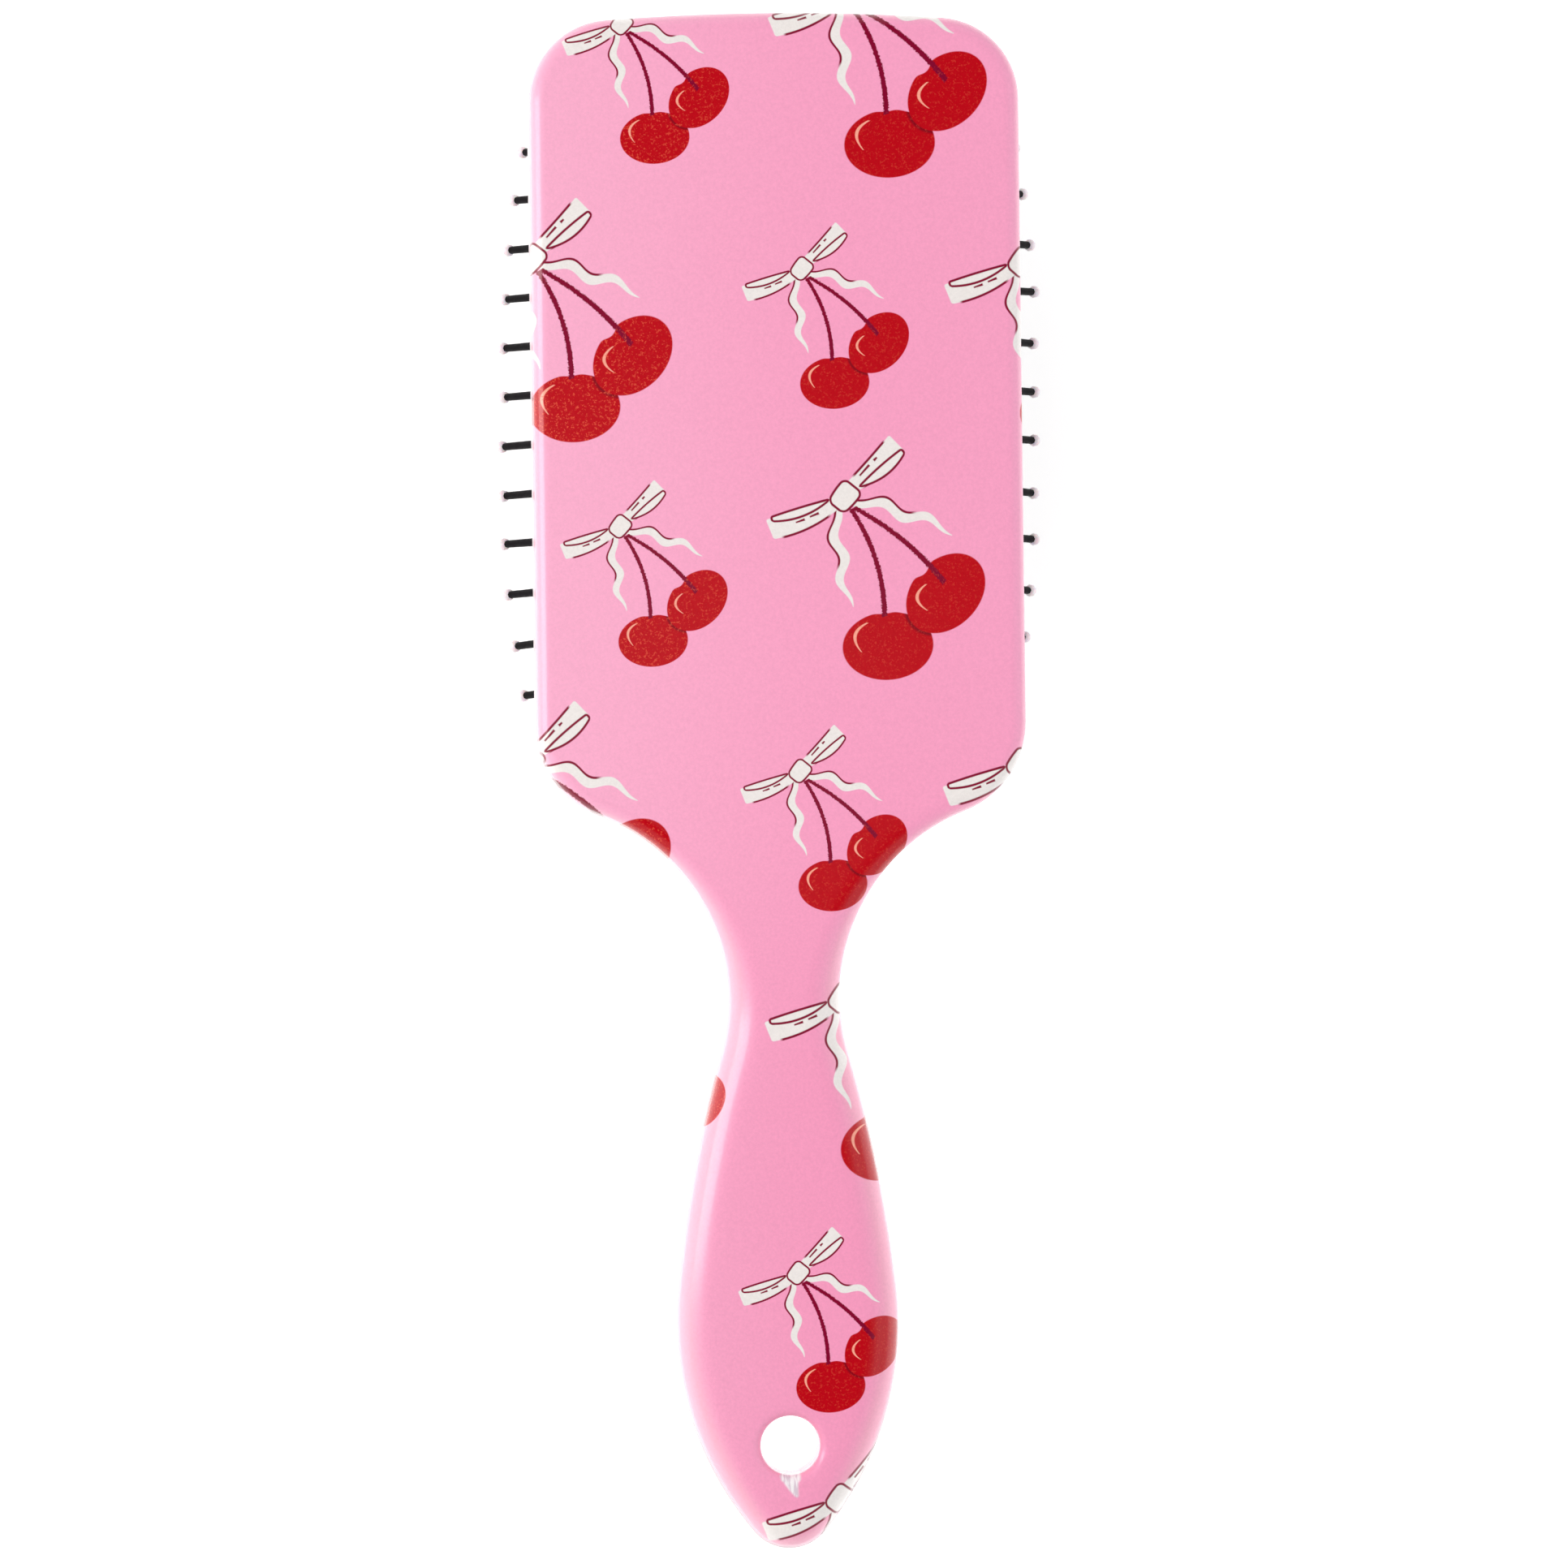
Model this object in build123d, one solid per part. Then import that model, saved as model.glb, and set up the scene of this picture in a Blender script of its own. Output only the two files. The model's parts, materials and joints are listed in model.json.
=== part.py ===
from build123d import *
import math
import os

# Paddle hair brush, set down on the tips of its pins with the printed back up. Millimetres.
# X runs across the brush, Y from the handle's end to the top of the head, Z up.
# The origin lies on the surface that the pins stand on, under the middle of the brush's length.

# Moulded body, seen from above
length = 240.0
head_half_width = 38.4
crown_radius = 370.0  # the head's top edge, very slightly arched
top_corner_radius = 13.0
low_corner_radius = 15.0
low_corner_y = 9.0  # where the straight side of the head ends
waist_half_width = 8.9
neck_radius = 31.0
grip_half_width = 17.5  # the handle at its widest
grip_y = -84.4
shoulder_radius = 51.5
shoulder_turn = 6.3  # degrees of the shoulder arc above the widest point
hang_hole_radius = 4.6
hang_hole_y = -103.5
hang_hole_roll = 1.5  # rolled edge of the hanging hole

# Moulded body, seen from the side
head_thickness = 12.0
back_wall = 2.8
handle_droop = 3.5  # how far the handle's end drops below the head's back
grip_belly = 2.6  # how far the handle's underside bulges below the head's rim
end_lift = 0.2  # how far the underside's end stays below the head's rim
back_edge_radius = 3.6
front_edge_radius = 2.2

# Cushion: a thin rubber dome with a skirt that snaps into a groove inside the head
field_y = 57.8  # middle of the pin field
pad_half_width = 34.5
pad_half_length = 58.3
pad_corner_radius = 20.0
pad_end_radius = 90.0
dome_rise = 10.3
dome_radius = 62.8
dome_end_axis = 2.0  # depth below the rim of the axis that the dome's ends turn about
dome_end_start = 46.2  # half the length of the dome's straight middle
membrane = 1.4
skirt_depth = 3.6
bead_height = 1.2
bead_reach = 1.2
groove_play = 0.2
vent_radius = 1.1

# Pins: nine columns of nylon pins with round tips, standing square on the dome
column_pitch = 7.75
row_pitch = 7.72
pins_in_column = (12, 13, 14, 13, 14, 13, 14, 13, 12)
column_bow = 0.11  # share of its width that a column loses at its ends
bow_half_length = 42.5
pin_reach = 22.7  # from the cushion's skin to the middle of the tip
pin_root_radius = 0.66
pin_end_radius = 0.52
pin_head_radius = 1.2
pin_head_height = 0.7
pin_head_gap = 0.7  # between the pin's head and the inside of the cushion
pin_play = 0.1
tip_radius = 1.0

top = length / 2
end = -length / 2
height = head_thickness + dome_rise + pin_reach + tip_radius
rim_z = height - head_thickness  # the head's front face, which the cushion stands out of
arc_centre = dome_rise - dome_radius  # the dome's arc centre, measured outwards from the rim

# turns the cushion and pins, made standing up from the rim, to point down from the head
place = Pos(0, field_y, rim_z) * Rot(0, 180, 0)


def arc(centre, start, stop):
    """The short arc about centre from start to stop."""
    middle = (start - centre) + (stop - centre)
    return ThreePointArc(start, centre + middle.normalized() * (start - centre).length, stop)


def towards(centre, other, distance):
    """The point that lies distance from centre in the direction of other."""
    return centre + (other - centre).normalized() * distance


def body_outline():
    """The brush seen from above: tangent arcs from the crown round to the handle's nose."""
    crown = Vector(0, top - crown_radius)
    corner_x = head_half_width - top_corner_radius
    corner = Vector(corner_x, crown.Y + math.sqrt((crown_radius - top_corner_radius) ** 2 - corner_x**2))
    low = Vector(head_half_width - low_corner_radius, low_corner_y)
    neck_x = waist_half_width + neck_radius
    neck = Vector(neck_x, low.Y - math.sqrt((low_corner_radius + neck_radius) ** 2 - (neck_x - low.X) ** 2))
    shoulder = Vector(grip_half_width - shoulder_radius, grip_y)
    turn = math.radians(shoulder_turn)
    out = Vector(math.cos(turn), math.sin(turn))
    gap = neck - shoulder - out * shoulder_radius
    flank_radius = (gap.dot(gap) - neck_radius**2) / (2 * (neck_radius - gap.dot(out)))
    flank = shoulder - out * (flank_radius - shoulder_radius)
    drop = grip_y - end
    nose_radius = (shoulder_radius**2 - shoulder.X**2 - drop**2) / (2 * (shoulder_radius - drop))
    nose = Vector(0, end + nose_radius)

    crown_point = towards(crown, corner, crown_radius)
    side_top = Vector(head_half_width, corner.Y)
    side_low = Vector(head_half_width, low_corner_y)
    low_point = towards(low, neck, low_corner_radius)
    neck_point = towards(neck, flank, neck_radius)
    shoulder_point = shoulder + out * shoulder_radius
    nose_point = towards(shoulder, nose, shoulder_radius)
    half = [
        arc(crown, Vector(0, top), crown_point),
        arc(corner, crown_point, side_top),
        Line(side_top, side_low),
        arc(low, side_low, low_point),
        arc(neck, low_point, neck_point),
        arc(flank, neck_point, shoulder_point),
        arc(shoulder, shoulder_point, nose_point),
        arc(nose, nose_point, Vector(0, end)),
    ]
    half = Curve() + half
    return make_face(half + mirror(half, Plane.YZ))


def side_profile():
    """The body seen from the side: a flat head and a handle that droops and swells a little."""
    past = 2.0
    back = Vector(0, height)
    front = Vector(0, rim_z)
    back_end = Vector(end - past, height - handle_droop)
    front_end = Vector(end - past, rim_z - end_lift)
    belly = Vector(grip_y + 10, rim_z - grip_belly)
    edges = [
        Line((top + past, rim_z), (top + past, height)),
        Line((top + past, height), back),
        TangentArc(back, back_end, tangent=(-1, 0)),
        Line(back_end, front_end),
        Spline(front_end, belly, front, tangents=[(1, -0.12), (1, 0)]),
        Line(front, (top + past, rim_z)),
    ]
    return make_face(Plane.YZ * (Curve() + edges))


def rim_edges(body, low, high):
    """The edges that run round the body between two heights."""
    return [
        edge
        for edge in body.edges()
        if low < edge.center().Z < high
        and edge.bounding_box().size.Z < head_thickness / 2
        and edge.bounding_box().size.Y > 0.01
    ]


def is_hole_rim(edge):
    """Whether an edge runs round the hanging hole, on its wall."""
    points = [edge @ share for share in (0.0, 0.4, 0.8)]
    on_wall = all(abs(math.hypot(p.X, p.Y - hang_hole_y) - hang_hole_radius) < 0.01 for p in points)
    return on_wall and edge.bounding_box().size.X > hang_hole_radius / 2


def pad_outline(grow=0.0):
    """The cushion's outline, or one that is a given distance outside it."""
    corner = Vector(pad_half_width - pad_corner_radius, 0)
    end_centre = Vector(0, pad_half_length - pad_end_radius)
    reach = pad_end_radius - pad_corner_radius
    corner = Vector(corner.X, end_centre.Y + math.sqrt(reach**2 - corner.X**2))
    radius = pad_corner_radius + grow
    tip = Vector(0, pad_half_length + grow)
    joint = towards(end_centre, corner, pad_end_radius + grow)
    side = Vector(corner.X + radius, corner.Y)
    quarter = Curve() + [arc(end_centre, tip, joint), arc(corner, joint, side), Line(side, Vector(side.X, 0))]
    half = quarter + mirror(quarter, Plane.YZ)
    return make_face(half + mirror(half, Plane.XZ))


def dome(radius):
    """Everything under a dome of this arc radius: a straight vault with both ends turned down."""
    base = -dome_end_axis
    half = math.sqrt(radius**2 - (arc_centre - base) ** 2)
    crest = arc_centre + radius
    vault = ThreePointArc((-half, base), (0, crest), (half, base))
    section = Curve() + [Line((half, base), (-half, base)), vault]
    face = make_face(Plane.XZ * section)
    straight = extrude(face, amount=dome_end_start, both=True)
    solid = straight
    for side in (1, -1):
        axis = Axis((0, side * dome_end_start, base), (-side, 0, 0))
        solid += revolve(Pos(0, side * dome_end_start, 0) * face, axis, 90)
    return solid


def column_x(column):
    return ((len(pins_in_column) - 1) / 2 - column) * column_pitch


def pin_places(column):
    """Where the pins of one column leave the cushion, as frames whose Z runs along the pin."""
    count = pins_in_column[column]
    places = []
    for row in range(count):
        y = (row - (count - 1) / 2) * row_pitch
        x = column_x(column) * (1 - column_bow * abs(y / bow_half_length) ** 3)
        rise = arc_centre + math.sqrt(dome_radius**2 - x**2)
        past = max(0.0, abs(y) - dome_end_start)
        skin = math.sqrt((rise + dome_end_axis) ** 2 - past**2) - dome_end_axis
        lean = math.degrees(math.asin(x / dome_radius))
        places.append(Pos(x, y, skin) * Rot(0, lean, 0))
    return places


def make_body():
    """The one-piece moulding: head with its recess, neck, handle and hanging hole."""
    slab = Pos(0, 0, rim_z - 2 * grip_belly) * extrude(body_outline(), amount=head_thickness + 4 * grip_belly)
    body = slab & extrude(side_profile(), amount=head_half_width + 1, both=True)
    body = fillet(rim_edges(body, rim_z + head_thickness / 2, height + 1), back_edge_radius)
    body = fillet(rim_edges(body, 0, rim_z + 0.1), front_edge_radius)
    recess_depth = head_thickness - back_wall
    body -= place * Pos(0, 0, -recess_depth) * extrude(pad_outline(groove_play), amount=recess_depth + 1)
    groove = extrude(pad_outline(bead_reach + groove_play), amount=bead_height + 2 * groove_play)
    body -= place * Pos(0, 0, -skirt_depth - groove_play) * groove
    body -= Pos(0, hang_hole_y, height / 2) * Cylinder(hang_hole_radius, 2 * height)
    return fillet([edge for edge in body.edges() if is_hole_rim(edge)], hang_hole_roll)


def cushion_block(inset):
    """The solid that the cushion's skin encloses, or one that is inset by a given thickness."""
    outline = Pos(0, 0, -skirt_depth) * pad_outline(-inset)
    block = dome(dome_radius - inset) & extrude(outline, amount=skirt_depth + dome_rise + 1)
    return block + extrude(outline, amount=skirt_depth - dome_end_axis)


def make_cushion():
    """The rubber dome, its skirt and bead, a hole for each pin and the air vent."""
    bead = extrude(pad_outline(bead_reach) - pad_outline(-membrane), amount=bead_height)
    pad = cushion_block(0) - cushion_block(membrane) + Pos(0, 0, -skirt_depth) * bead
    hole = Cylinder(pin_root_radius + pin_play, 6 * membrane)
    holes = [spot * hole for column in range(len(pins_in_column)) for spot in pin_places(column)]
    holes.append(Pos(0, 0, dome_rise) * Cylinder(vent_radius, 6 * membrane))
    return place * (pad - holes)


def make_pin():
    """One pin about its own axis: tapered shaft and the flat head that holds it inside the cushion."""
    shoulder = -membrane - pin_head_gap
    flat_end = pin_reach - math.sqrt(tip_radius**2 - pin_end_radius**2)
    points = [
        (0, shoulder - pin_head_height),
        (pin_head_radius, shoulder - pin_head_height),
        (pin_head_radius, shoulder),
        (pin_root_radius, shoulder),
        (pin_end_radius, flat_end),
        (0, flat_end),
    ]
    return revolve(make_face(Plane.XZ * Polyline(*points, close=True)), Axis.Z)


def make_tip():
    """One round tip, flat where it meets the pin's end."""
    flat = math.sqrt(tip_radius**2 - pin_end_radius**2)
    below = Pos(0, 0, -flat - tip_radius) * Cylinder(2 * tip_radius, 2 * tip_radius)
    return Pos(0, 0, pin_reach) * (Sphere(tip_radius) - below)


os.makedirs("parts", exist_ok=True)
export_step(make_body(), "parts/brush_body.step")
export_step(make_cushion(), "parts/cushion_pad.step")
pin = make_pin()
tip = make_tip()
for column in range(len(pins_in_column)):
    spots = pin_places(column)
    number = column + 1
    export_step(Compound(children=[place * spot * pin for spot in spots]), f"parts/pins_{number}.step")
    export_step(Compound(children=[place * spot * tip for spot in spots]), f"parts/tips_{number}.step")
    x = column_x(column)
    skin = arc_centre + math.sqrt(dome_radius**2 - x**2)
    print(f"column {number}: base x {-x:.2f}, skin z {rim_z - skin:.2f}, {len(spots)} pins")
print(f"height {height:.2f}, rim z {rim_z:.2f}")
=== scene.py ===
import json
import math

import bmesh
import bpy
from mathutils import Matrix, Vector

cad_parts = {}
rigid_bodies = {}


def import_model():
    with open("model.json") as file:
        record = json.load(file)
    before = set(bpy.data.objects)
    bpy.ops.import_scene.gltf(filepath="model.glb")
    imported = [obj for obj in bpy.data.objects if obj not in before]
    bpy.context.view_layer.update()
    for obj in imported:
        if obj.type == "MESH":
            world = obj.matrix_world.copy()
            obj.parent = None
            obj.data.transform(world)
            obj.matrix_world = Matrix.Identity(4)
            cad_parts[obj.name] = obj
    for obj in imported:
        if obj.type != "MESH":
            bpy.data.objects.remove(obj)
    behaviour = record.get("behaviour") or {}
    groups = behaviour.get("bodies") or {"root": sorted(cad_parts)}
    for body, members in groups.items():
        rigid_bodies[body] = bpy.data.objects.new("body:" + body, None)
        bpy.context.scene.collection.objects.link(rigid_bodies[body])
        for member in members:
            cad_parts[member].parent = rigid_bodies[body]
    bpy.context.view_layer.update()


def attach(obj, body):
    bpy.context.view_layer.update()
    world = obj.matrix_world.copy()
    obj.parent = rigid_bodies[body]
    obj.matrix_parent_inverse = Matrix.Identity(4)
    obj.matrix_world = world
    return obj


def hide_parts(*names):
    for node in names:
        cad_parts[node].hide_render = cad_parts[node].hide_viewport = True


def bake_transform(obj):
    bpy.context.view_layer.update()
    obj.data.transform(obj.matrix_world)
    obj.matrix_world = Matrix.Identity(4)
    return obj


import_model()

# every size below is in millimetres, in the frame's axes; mm turns it into metres
mm = 0.001

brush = {
    "top": 120.0,
    "end": -120.0,
    "back": 46.0,  # height of the flat printed back
    "rim": 34.0,  # height of the head's front face
    "headHalfWidth": 38.4,
    "crownRadius": 370.0,  # of the slightly curved far end
    "topCornerRadius": 13.0,
    "lowCornerRadius": 15.0,
    "lowCornerY": 9.0,
    "waistHalfWidth": 8.9,
    "neckRadius": 31.0,
    "gripHalfWidth": 17.5,
    "gripY": -84.4,
    "shoulderRadius": 51.5,
    "shoulderTurn": 6.3,  # degrees above the handle's widest point where the flank begins
    "droop": 3.5,  # fall of the handle's back at droopEnd
    "droopEnd": 122.0,
    "belly": 2.6,  # swell of the handle's underside at bellyY
    "bellyY": 74.4,
    "lift": 2.4,  # rise of the underside from the belly to the end
    "headRoll": (2.4, 2.1),  # edge radius on the head, back and front
    "gripRoll": (5.4, 4.4),  # edge radius on the handle, back and front
    "rollBlend": (-4.0, -40.0),  # where the head's edge turns into the handle's
    "draft": 0.35,  # how far the sides lean in towards the back
    "columns": 18,  # faces across the flat sides
}


# how far value lies from low to high, eased at both ends
def between(low, high, value):
    share = min(1.0, max(0.0, (value - low) / (high - low)))
    return share * share * (3 - 2 * share)


def towards(centre, other, distance):
    return centre + (other - centre).normalized() * distance


# points along an arc, each with its outward normal; bulge is -1 where the outline is hollow
def arcPoints(centre, start, stop, steps, bulge=1):
    first = math.atan2(start.y - centre.y, start.x - centre.x)
    last = math.atan2(stop.y - centre.y, stop.x - centre.x)
    turn = (last - first + math.pi) % (2 * math.pi) - math.pi
    radius = (start - centre).length
    points = []
    for step in range(steps):
        angle = first + turn * step / steps
        out = Vector((math.cos(angle), math.sin(angle)))
        points.append((centre + out * radius, out * bulge))
    return points


def linePoints(start, stop, steps):
    return [(start.lerp(stop, step / steps), Vector((1, 0))) for step in range(steps)]


# the right half of the body's outline, from the middle of the crown down to the handle's nose
def bodyOutline():
    crown = Vector((0, brush["top"] - brush["crownRadius"]))
    cornerX = brush["headHalfWidth"] - brush["topCornerRadius"]
    reach = brush["crownRadius"] - brush["topCornerRadius"]
    corner = Vector((cornerX, crown.y + math.sqrt(reach**2 - cornerX**2)))
    low = Vector((brush["headHalfWidth"] - brush["lowCornerRadius"], brush["lowCornerY"]))
    neckX = brush["waistHalfWidth"] + brush["neckRadius"]
    span = brush["lowCornerRadius"] + brush["neckRadius"]
    neck = Vector((neckX, low.y - math.sqrt(span**2 - (neckX - low.x) ** 2)))
    shoulder = Vector((brush["gripHalfWidth"] - brush["shoulderRadius"], brush["gripY"]))
    turn = math.radians(brush["shoulderTurn"])
    out = Vector((math.cos(turn), math.sin(turn)))
    gap = neck - shoulder - out * brush["shoulderRadius"]
    flankRadius = (gap.dot(gap) - brush["neckRadius"] ** 2) / (2 * (brush["neckRadius"] - gap.dot(out)))
    flank = shoulder - out * (flankRadius - brush["shoulderRadius"])
    drop = brush["gripY"] - brush["end"]
    noseRadius = brush["shoulderRadius"] ** 2 - shoulder.x**2 - drop**2
    noseRadius /= 2 * (brush["shoulderRadius"] - drop)
    nose = Vector((0, brush["end"] + noseRadius))

    crownPoint = towards(crown, corner, brush["crownRadius"])
    sideTop = Vector((brush["headHalfWidth"], corner.y))
    sideLow = Vector((brush["headHalfWidth"], low.y))
    lowPoint = towards(low, neck, brush["lowCornerRadius"])
    neckPoint = towards(neck, flank, brush["neckRadius"])
    shoulderPoint = shoulder + out * brush["shoulderRadius"]
    nosePoint = towards(shoulder, nose, brush["shoulderRadius"])
    points = arcPoints(crown, Vector((0, brush["top"])), crownPoint, 12)
    points += arcPoints(corner, crownPoint, sideTop, 14)
    points += linePoints(sideTop, sideLow, 24)
    points += arcPoints(low, sideLow, lowPoint, 14)
    points += arcPoints(neck, lowPoint, neckPoint, 30, -1)
    points += arcPoints(flank, neckPoint, shoulderPoint, 16)
    points += arcPoints(shoulder, shoulderPoint, nosePoint, 22)
    points += arcPoints(nose, nosePoint, Vector((0, brush["end"])), 9)
    return points + [(Vector((0, brush["end"])), Vector((0, -1)))]


pad = {
    "y": 57.8,
    "halfWidth": 34.5,
    "halfLength": 58.3,
    "cornerRadius": 20.0,
    "endRadius": 90.0,
    "rise": 10.3,
    "domeRadius": 62.8,  # across the brush
    "endAxis": 2.0,  # how deep below the rim the ends turn in
    "endStart": 46.2,  # how far from the middle they start to fall
    "skin": 1.4,
    "skirt": 3.5,
    "skirtStraight": 2.3,
    "edgeRoll": 0.9,
    "bead": ((-0.7, 2.4), (-1.1, 2.7), (-1.1, 3.3), (-0.8, 3.5)),  # inset and height of its section
    "columns": 56,
    "liningColumns": 28,
    "play": 0.25,  # between the skirt and the recess
    "grooveReach": 1.4,
    "grooveLow": 2.2,
    "grooveHigh": 3.8,
    "recessDepth": 9.2,
    "chamfer": 0.35,
}


# a quarter of the cushion's outline about its own middle, from its far end to its side
def padOutline():
    endCentre = Vector((0, pad["halfLength"] - pad["endRadius"]))
    cornerX = pad["halfWidth"] - pad["cornerRadius"]
    reach = pad["endRadius"] - pad["cornerRadius"]
    corner = Vector((cornerX, endCentre.y + math.sqrt(reach**2 - cornerX**2)))
    joint = towards(endCentre, corner, pad["endRadius"])
    side = Vector((pad["halfWidth"], corner.y))
    quarter = arcPoints(endCentre, Vector((0, pad["halfLength"])), joint, 10)
    quarter += arcPoints(corner, joint, side, 18)
    quarter += linePoints(side, Vector((side.x, 0)), 18)
    middle = [(Vector((side.x, 0)), Vector((1, 0)))]
    mirrored = [(Vector((p.x, -p.y)), Vector((n.x, -n.y))) for p, n in reversed(quarter)]
    return quarter + middle + mirrored


# both halves as one ring, clockwise from above; point i and point -i lie opposite each other
def wholeRing(half):
    left = [(Vector((-p.x, p.y)), Vector((-n.x, n.y))) for p, n in reversed(half[1:-1])]
    return half + left


def backHeight(y):
    return brush["back"] - brush["droop"] * (min(0.0, y) / brush["droopEnd"]) ** 2


def rimHeight(y):
    if y > -brush["bellyY"]:
        return brush["rim"] - brush["belly"] * between(0, -brush["bellyY"], y)
    share = (-y - brush["bellyY"]) / (brush["droopEnd"] - brush["bellyY"])
    return brush["rim"] - brush["belly"] + brush["lift"] * share**2


def edgeRolls(y):
    share = between(*brush["rollBlend"], y)
    back, front = (h + (g - h) * share for h, g in zip(brush["headRoll"], brush["gripRoll"]))
    room = 0.9 * (backHeight(y) - rimHeight(y)) / (back + front)
    return back * min(1, room), front * min(1, room)


# the body's section at one point of its outline, from the flat of the back round to the flat of the front
def bodySection(point, normal):
    back, front = edgeRolls(point.y)
    section = []
    for step in range(11):
        angle = math.radians(9 * step)
        spot = point - normal * (back * (1 - math.sin(angle)) + brush["draft"])
        section.append((spot.x, spot.y, backHeight(spot.y) - back * (1 - math.cos(angle))))
    for step in range(9):
        angle = math.radians(11.25 * step)
        spot = point - normal * front * (1 - math.cos(angle))
        section.append((spot.x, spot.y, rimHeight(spot.y) + front * (1 - math.sin(angle))))
    return section


# joins opposite points of a ring with rows of faces, so that a flat or domed side is closed
def fillRing(mesh, ring, height, columns):
    half = len(ring) // 2
    rows = [[ring[0]]]
    for index in range(1, half):
        left, right = ring[-index], ring[index]
        row = [left]
        for column in range(1, columns):
            spot = left.co.lerp(right.co, column / columns)
            spot.z = height(spot.x, spot.y)
            row.append(mesh.verts.new(spot))
        rows.append(row + [right])
    rows.append([ring[half]])
    for above, below in zip(rows, rows[1:]):
        for column in range(columns):
            corners = [above[min(column, len(above) - 1)], above[min(column + 1, len(above) - 1)]]
            corners += [below[min(column + 1, len(below) - 1)], below[min(column, len(below) - 1)]]
            mesh.faces.new(list(dict.fromkeys(corners)))


def joinRings(mesh, rings):
    for ring, after in zip(rings, rings[1:]):
        count = len(ring)
        for index in range(count):
            other = (index + 1) % count
            mesh.faces.new((ring[index], ring[other], after[other], after[index]))


# a finished object whose vertices are in metres, with its object at the origin
def finishMesh(name, mesh, smoothAngle=35):
    bmesh.ops.scale(mesh, vec=(mm, mm, mm), verts=mesh.verts)
    bmesh.ops.recalc_face_normals(mesh, faces=mesh.faces)
    data = bpy.data.meshes.new(name)
    mesh.to_mesh(data)
    mesh.free()
    piece = bpy.data.objects.new(name, data)
    bpy.context.scene.collection.objects.link(piece)
    smoothFaces(piece, smoothAngle)
    return piece


def smoothFaces(piece, angle):
    mesh = bmesh.new()
    mesh.from_mesh(piece.data)
    for face in mesh.faces:
        face.smooth = True
    for edge in mesh.edges:
        edge.smooth = len(edge.link_faces) == 2 and edge.calc_face_angle(0) < math.radians(angle)
    mesh.to_mesh(piece.data)
    mesh.free()


def applyModifiers(piece):
    bpy.context.view_layer.update()
    graph = bpy.context.evaluated_depsgraph_get()
    data = bpy.data.meshes.new_from_object(piece.evaluated_get(graph), depsgraph=graph)
    piece.modifiers.clear()
    piece.data = data
    return piece


def cutAway(piece, cutter):
    step = piece.modifiers.new("cut", "BOOLEAN")
    step.operation = "DIFFERENCE"
    step.solver = "EXACT"
    step.object = cutter
    applyModifiers(piece)
    bpy.data.objects.remove(cutter)


# a solid through closed rings of points, with flat ends
def ringSolid(name, rings):
    mesh = bmesh.new()
    loops = [[mesh.verts.new(point) for point in ring] for ring in rings]
    joinRings(mesh, loops)
    mesh.faces.new(loops[0])
    mesh.faces.new(loops[-1])
    return finishMesh(name, mesh)


def recessCutter():
    outline = wholeRing(padOutline())
    play = pad["play"]
    mouth = play + pad["chamfer"]
    # how far each step is cut in from the rim, and how far outside the cushion's outline
    steps = [(-1.0, mouth), (0.0, mouth), (pad["chamfer"], play), (pad["grooveLow"], play)]
    steps += [(pad["grooveLow"], pad["grooveReach"]), (pad["grooveHigh"], pad["grooveReach"])]
    steps += [(pad["grooveHigh"], play), (pad["recessDepth"], play)]
    rings = []
    for depth, grow in steps:
        spots = [point + normal * grow for point, normal in outline]
        rings.append([(spot.x, spot.y + pad["y"], brush["rim"] + depth) for spot in spots])
    return ringSolid("recessCutter", rings)


hangHole = {
    "y": -103.5,
    "radius": 4.6,
    "roll": 1.5,
    "steps": 56,
    # the strokes that outline the torn film beside the hole
    "nick": (
        {"Start": (-0.1, -107.6, 0), "Angle": -1.3, "Length": 4.1, "Begin": 1.7, "Finish": 0.2,
         "Bow": -0.2, "Round": 0.3},
        {"Start": (-1.5, -108.4, 0), "Angle": 0.05, "Length": 3.0, "Begin": 0.6, "Finish": 0.7,
         "Round": 0.3},
    ),
}


# a spindle that leaves a hole with rolled edges, leaning with the surface at either end
def holeCutter():
    y, radius, roll = hangHole["y"], hangHole["radius"], hangHole["roll"]
    rings = []
    for surface, away in ((rimHeight, -1), (backHeight, 1)):
        steps = []
        for step in range(7):
            angle = math.radians(15 * step)
            steps.append((radius + roll * (1 - math.cos(angle)), -roll * (1 - math.sin(angle))))
        steps.append((radius + roll, 2.0))
        level = []
        for reach, rise in steps:
            ring = []
            for turn in range(hangHole["steps"]):
                angle = 2 * math.pi * turn / hangHole["steps"]
                spot = y + reach * math.sin(angle)
                ring.append((reach * math.cos(angle), spot, surface(spot) + away * rise))
            level.append(ring)
        rings += level if away > 0 else level[::-1]
    return ringSolid("holeCutter", rings)


def makeBody():
    ring = wholeRing(bodyOutline())
    mesh = bmesh.new()
    sections = [[mesh.verts.new(spot) for spot in bodySection(point, normal)] for point, normal in ring]
    rings = [list(level) for level in zip(*sections)]
    joinRings(mesh, rings)
    fillRing(mesh, rings[0], lambda x, y: backHeight(y), brush["columns"])
    fillRing(mesh, rings[-1], lambda x, y: rimHeight(y), brush["columns"])
    body = finishMesh("brushBody", mesh)
    cutAway(body, recessCutter())
    cutAway(body, holeCutter())
    smoothFaces(body, 35)
    normals = body.modifiers.new("normals", "WEIGHTED_NORMAL")
    normals.keep_sharp = True
    return applyModifiers(body)


# how far the cushion's skin stands out of the rim, measured from the pad's middle
def domeHeight(x, y):
    rise = pad["rise"] - pad["domeRadius"] + math.sqrt(pad["domeRadius"] ** 2 - x**2)
    past = max(0.0, abs(y) - pad["endStart"])
    height = math.sqrt(max(0.0, (rise + pad["endAxis"]) ** 2 - past**2)) - pad["endAxis"]
    lowest, blend = -0.3, 0.5  # eases the foot of the dome into a level rim
    return (height + lowest + math.sqrt((height - lowest) ** 2 + blend**2)) / 2


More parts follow.
